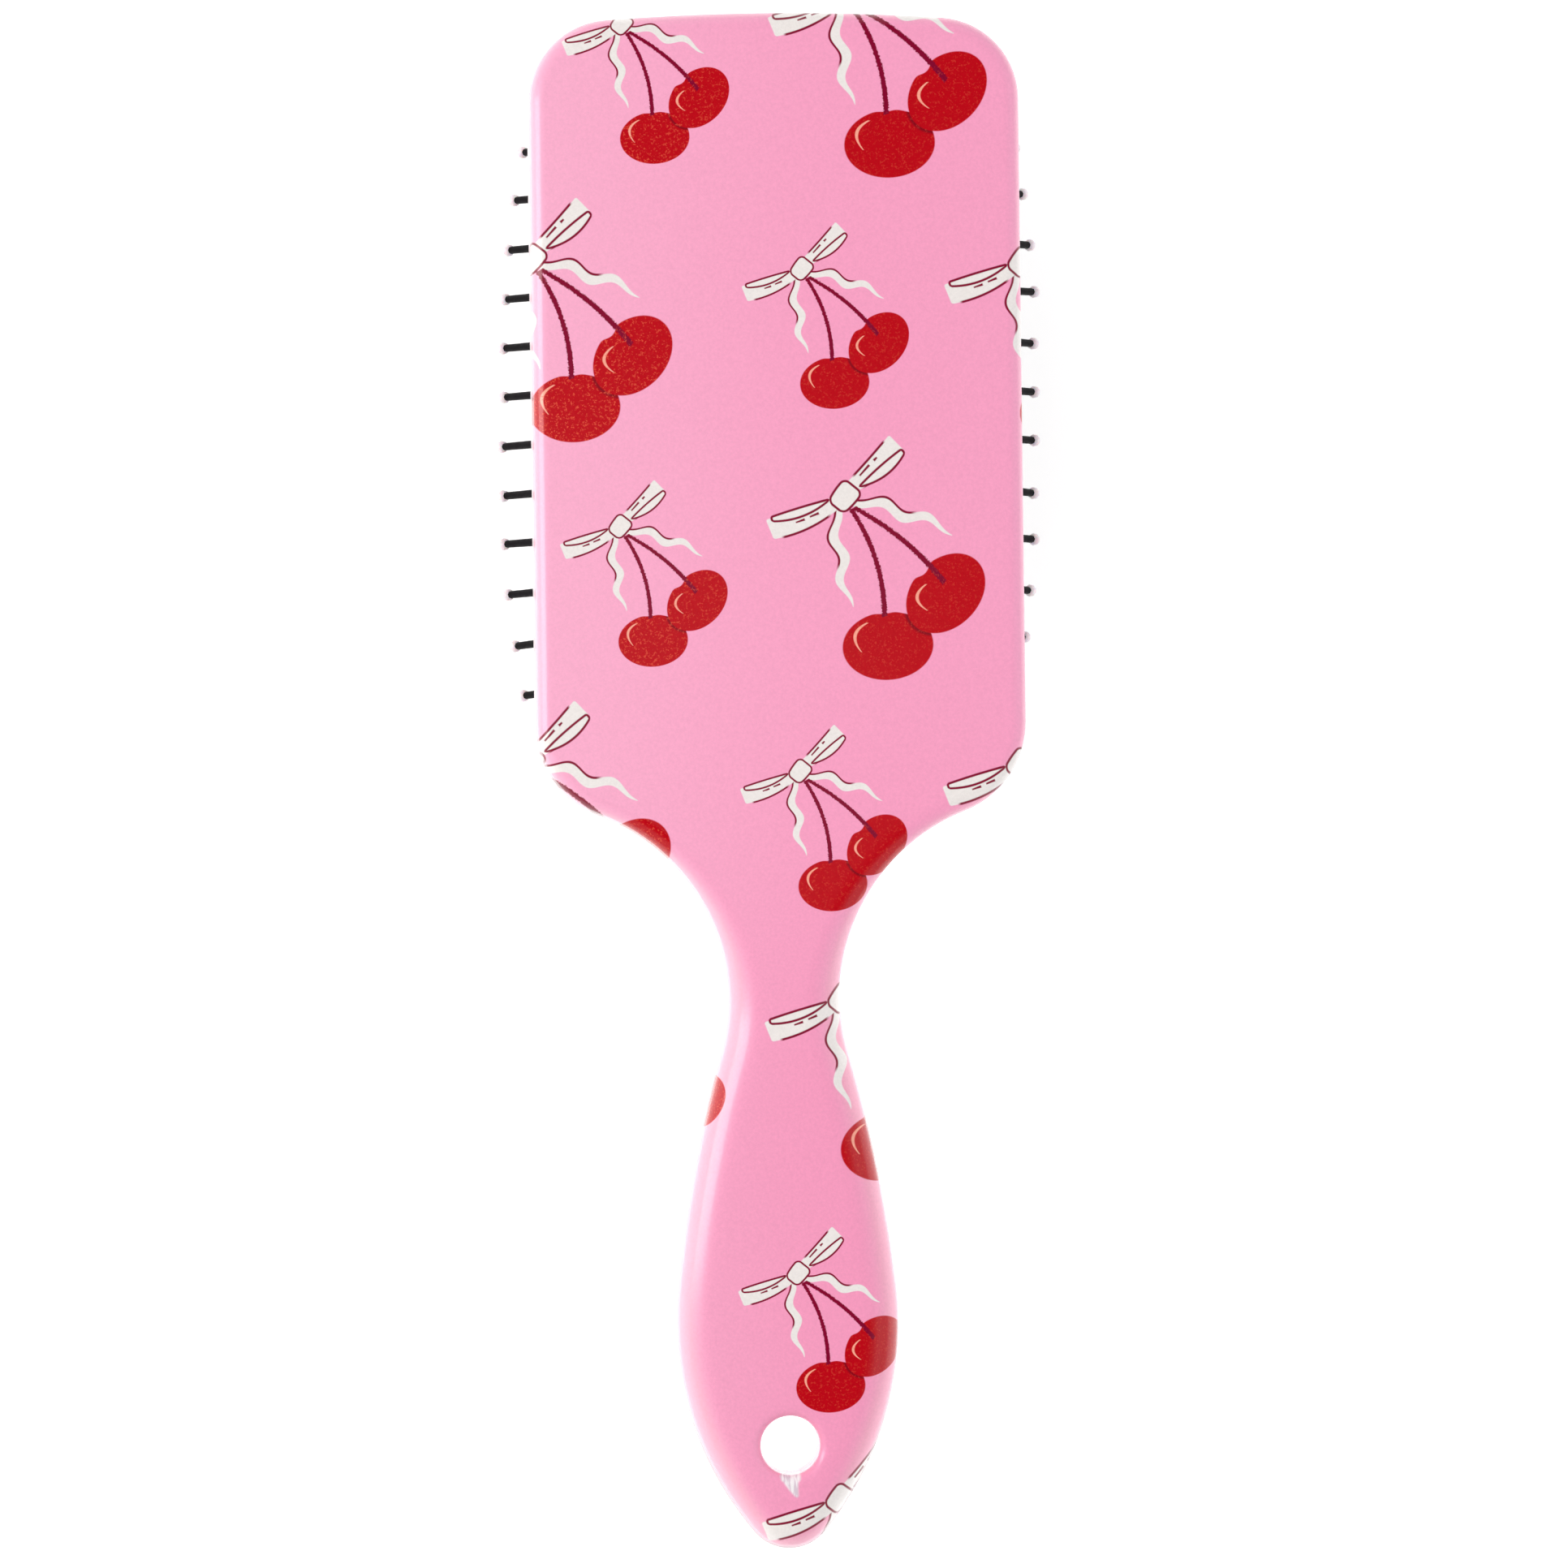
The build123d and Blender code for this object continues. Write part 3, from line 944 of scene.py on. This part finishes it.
# stands a template on every point, turned by the point's lean and a little at random
def standingTree():
    tree = bpy.data.node_groups.new("standOnPoints", "GeometryNodeTree")
    sockets = {}
    for name, kind in (("Points", "Geometry"), ("Template", "Object"), ("Wobble", "Float"),
                       ("Seed", "Int"), ("Material", "Material")):
        socket = tree.interface.new_socket(name, in_out="INPUT", socket_type="NodeSocket" + kind)
        sockets[name] = socket.identifier
    tree.interface.new_socket("Mesh", in_out="OUTPUT", socket_type="NodeSocketGeometry")
    g = Graph(tree)
    given = g.put("NodeGroupInput").outputs
    template = g.feed(g.put("GeometryNodeObjectInfo"), {"Object": given["Template"]})
    lean = g.put("GeometryNodeInputNamedAttribute", data_type="FLOAT_VECTOR")
    g.feed(lean, {"Name": "lean"})
    wobble = g.put("FunctionNodeRandomValue", data_type="FLOAT_VECTOR")
    g.feed(wobble, {0: (-1, -1, -1), 1: (1, 1, 1), "Seed": given["Seed"]})
    away = g.put("ShaderNodeVectorMath", operation="SCALE")
    g.feed(away, {0: wobble.outputs[0], "Scale": given["Wobble"]})
    turn = g.vector("ADD", lean.outputs["Attribute"], away.outputs[0])
    stand = g.put("GeometryNodeInstanceOnPoints")
    g.feed(stand, {"Points": given["Points"], "Instance": template.outputs["Geometry"], "Rotation": turn})
    made = g.feed(g.put("GeometryNodeRealizeInstances"), {"Geometry": stand.outputs[0]})
    painted = g.feed(g.put("GeometryNodeSetMaterial"),
                     {"Geometry": made.outputs[0], "Material": given["Material"]})
    g.feed(g.put("NodeGroupOutput"), {"Mesh": painted.outputs[0]})
    return tree, sockets


def standTemplates(name, places, template, material, seed, wobble=0.0):
    data = bpy.data.meshes.new(name)
    data.from_pydata([spot * mm for spot, turn in places], [], [])
    lean = data.attributes.new("lean", "FLOAT_VECTOR", "POINT")
    lean.data.foreach_set("vector", [angle for spot, turn in places for angle in turn])
    piece = bpy.data.objects.new(name, data)
    bpy.context.scene.collection.objects.link(piece)
    tree, sockets = standing
    step = piece.modifiers.new("stand", "NODES")
    step.node_group = tree
    values = {"Template": template, "Wobble": wobble, "Seed": seed, "Material": material}
    for key, value in values.items():
        step[sockets[key]] = value
    applyModifiers(piece)
    smoothFaces(piece, 50)
    return piece


def finished(piece, material, body, slot, *nodes):
    piece.data.materials.clear()
    piece.data.materials.append(material)
    if body:
        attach(piece, body)
    if nodes:
        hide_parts(*nodes)


printed, rubber, nylon, coating = printedMaterial(), rubberMaterial(), nylonMaterial(), tipMaterial()

brushBody = makeBody()
finished(brushBody, printed, "brush_body", "printed_body", "brush_body")
print("body:", len(brushBody.data.polygons), "faces")

ballHeight = pins["reach"]
shaftEnd = ballHeight - pins["dip"]
headTop = pins["headThickness"] - pins["headDepth"]
pinProfile = [(0, -pins["headDepth"]), (pins["headRadius"], -pins["headDepth"]),
              (pins["headRadius"], headTop), (pins["rootRadius"], headTop + 0.1),
              (pins["footRadius"], -0.1), (pins["rootRadius"] + 0.05, pins["footHeight"]),
              (pins["endRadius"], shaftEnd), (0, shaftEnd)]
ballProfile = [(0, shaftEnd - 0.1)]
for angle in (-58, -32, -6, 20, 46, 70):
    turned = math.radians(angle)
    across, up = pins["tipRadius"] * math.cos(turned), pins["tipRadius"] * math.sin(turned)
    ballProfile.append((across, ballHeight + up))
ballProfile.append((0, ballHeight + pins["tipRadius"]))
collarRadius, collarHeight = pins["collarRadius"], pins["collarHeight"]
collarProfile = [(0, -0.6), (collarRadius + 0.25, -0.6), (collarRadius, collarHeight * 0.45),
                 (collarRadius - 0.25, collarHeight), (pins["footRadius"], collarHeight), (0, 0.1)]

standing = standingTree()
pinShape = makeLathe("pinShape", pinProfile, 8)
ballShape = makeLathe("ballShape", ballProfile, 9)
collarShape = makeLathe("collarShape", collarProfile, 12)
allPlaces = []
for column in range(len(pins["counts"])):
    places = pinPlaces(column)
    allPlaces += places
    number = column + 1
    body = f"pin_column_{number}"
    shafts = standTemplates(f"pinColumn{number}", places, pinShape, nylon, number, pins["wobble"])
    balls = standTemplates(f"pinTips{number}", places, ballShape, coating, number, pins["wobble"])
    finished(shafts, nylon, body, "pin_nylon", f"pins_{number}")
    finished(balls, coating, body, "tip_coating", f"tips_{number}")
collars = standTemplates("pinCollars", allPlaces, collarShape, rubber, 1)
finished(collars, rubber, "cushion", "cushion_rubber")
for shape in (pinShape, ballShape, collarShape):
    bpy.data.objects.remove(shape)
print("pins:", len(allPlaces), "standing on the cushion")

vent = {
    "radius": 1.1,
    "mouth": 1.5,
    "mouthDepth": 0.6,
    "past": 4.0,  # how far the cutter runs past the skin
}

cushionDome = makeCushion()
ventProfile = [(0, -vent["past"]), (vent["radius"], -vent["past"]), (vent["radius"], vent["mouthDepth"]),
               (vent["mouth"], 0), (vent["mouth"], vent["past"]), (0, vent["past"])]
ventCutter = makeLathe("vent", ventProfile, 20)
crownSpot = (0, pad["y"] * mm, (brush["rim"] - pad["rise"]) * mm)
ventCutter.data.transform(Matrix.Translation(crownSpot) @ Matrix.Rotation(math.pi, 4, "X"))
cutAway(cushionDome, ventCutter)
smoothFaces(cushionDome, 50)
finished(cushionDome, rubber, None, "cushion_rubber", "cushion_pad")
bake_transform(cushionDome)  # its transform put into its vertices, with the object at the origin
print("cushion:", len(cushionDome.data.polygons), "faces")

studio = {
    "floor": 4.0,  # metres across
    "target": (0.1, -0.4, 46.0),  # millimetres
    "distance": 1.2,  # metres from the target
    "tilt": 2.6,  # degrees the camera stands to the left of straight above
    "lean": 0.7,  # degrees the picture is turned on the object
    "lens": 177.3,
    "around": 0.6,  # strength of the world's light
    "ceiling": (0.6, 0.85),  # upward part of a direction, where the world darkens
    "overhead": (0.05, 0.05, 0.05, 1),
    "floorColour": (0.93, 0.93, 0.93, 1),
    "floorGlow": 0.54,
    "aim": (0, 0, 0.03),
}

lights = {
    "keyLeft": dict(spot=(-0.95, 0.1, 0.9), size=(0.6, 0.9), power=11.5, colour=(1, 0.98, 0.94),
                    glossy=False),
    "lowLeft": dict(spot=(-1.1, 0.1, 0.55), size=(0.35, 0.9), power=5.0, colour=(1, 0.96, 0.92),
                    diffuse=False),
    "fillRight": dict(spot=(1.2, -0.1, 1.0), size=(1.5, 1.6), power=10.8, glossy=False),
    "sheenLeft": dict(spot=(-0.28, 0.1, 1.25), size=(0.2, 0.8), power=0.3),
}


def makeFloor():
    mesh = bmesh.new()
    bmesh.ops.create_grid(mesh, x_segments=1, y_segments=1, size=studio["floor"] / 2)
    data = bpy.data.meshes.new("floor")
    mesh.to_mesh(data)
    mesh.free()
    floor = bpy.data.objects.new("floor", data)
    bpy.context.scene.collection.objects.link(floor)
    finish = {"Base Color": studio["floorColour"], "Roughness": 0.7, "Emission Color": (1, 1, 1, 1),
              "Emission Strength": studio["floorGlow"]}
    data.materials.append(newMaterial("paleFloor", **finish)[0])


def makeLight(name, spot, size, power, colour=(1, 1, 1), diffuse=True, glossy=True):
    data = bpy.data.lights.new(name, "AREA")
    data.shape, data.size, data.size_y = "RECTANGLE", *size
    data.energy, data.color = power, colour
    light = bpy.data.objects.new(name, data)
    light.location = spot
    light.visible_diffuse, light.visible_glossy = diffuse, glossy
    light.rotation_mode = "QUATERNION"
    light.rotation_quaternion = (Vector(studio["aim"]) - Vector(spot)).to_track_quat("-Z", "Y")
    bpy.context.scene.collection.objects.link(light)


def makeCamera():
    tilt, lean = math.radians(studio["tilt"]), math.radians(studio["lean"])
    back = Vector((-math.sin(tilt), 0, math.cos(tilt)))
    right = Vector((math.sin(lean), math.cos(lean), 0)).cross(back).normalized()
    turn = Matrix((right, back.cross(right), back)).transposed()
    data = bpy.data.cameras.new("camera")
    data.lens, data.clip_start, data.clip_end = studio["lens"], 0.05, 20
    camera = bpy.data.objects.new("camera", data)
    spot = Vector(studio["target"]) * mm + back * studio["distance"]
    camera.matrix_world = Matrix.Translation(spot) @ turn.to_4x4()
    bpy.context.scene.collection.objects.link(camera)
    bpy.context.scene.camera = camera


# white all round, and darker overhead so that the flat back doesn't mirror a white ceiling
def makeWorld():
    world = bpy.data.worlds.new("studio")
    world.use_nodes = True
    g = Graph(world.node_tree)
    up = g.split(g.put("ShaderNodeTexCoord").outputs["Generated"])[2]
    colour = g.paint(g.ease(*studio["ceiling"], up), (1, 1, 1, 1), studio["overhead"])
    g.feed(world.node_tree.nodes["Background"], {"Color": colour, "Strength": studio["around"]})
    bpy.context.scene.world = world


makeFloor()
for name, facts in lights.items():
    makeLight(name, **facts)
makeCamera()
makeWorld()
bpy.context.scene.view_settings.view_transform = "Standard"
